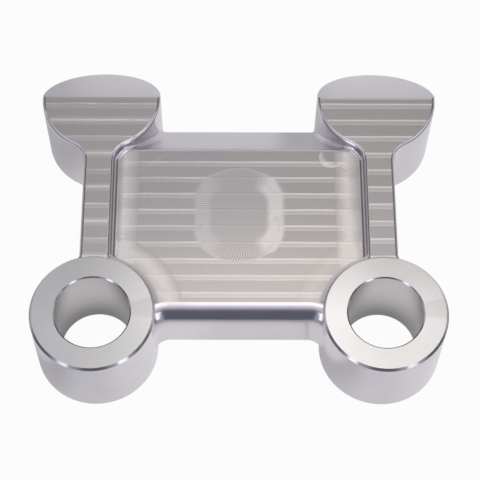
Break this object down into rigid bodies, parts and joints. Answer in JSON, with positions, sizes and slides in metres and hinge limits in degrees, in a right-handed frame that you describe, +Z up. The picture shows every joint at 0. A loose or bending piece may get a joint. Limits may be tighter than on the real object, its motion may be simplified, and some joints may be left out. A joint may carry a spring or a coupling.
{
  "type": "motorcycle riser pull back plate",
  "caption": "Milled plate with round eyes and sloped pads joined by arms and a pocketed web; sets motorcycle handlebar risers back from the fork clamp.",
  "frame": {"origin": "under the middle of the plate, on the plane that the eyes and pads stand on", "axes": "+X across the bosses to the right, +Y from the eyes to the pads, +Z up through the pocket side"},
  "size_m": [0.127, 0.1142, 0.028],
  "materials": {
    "milled_aluminium": "bare, milled with visible tool marks"
  },
  "bodies": {
    "root": {"pull_back_plate": "milled_aluminium"}
  },
  "joints": []
}
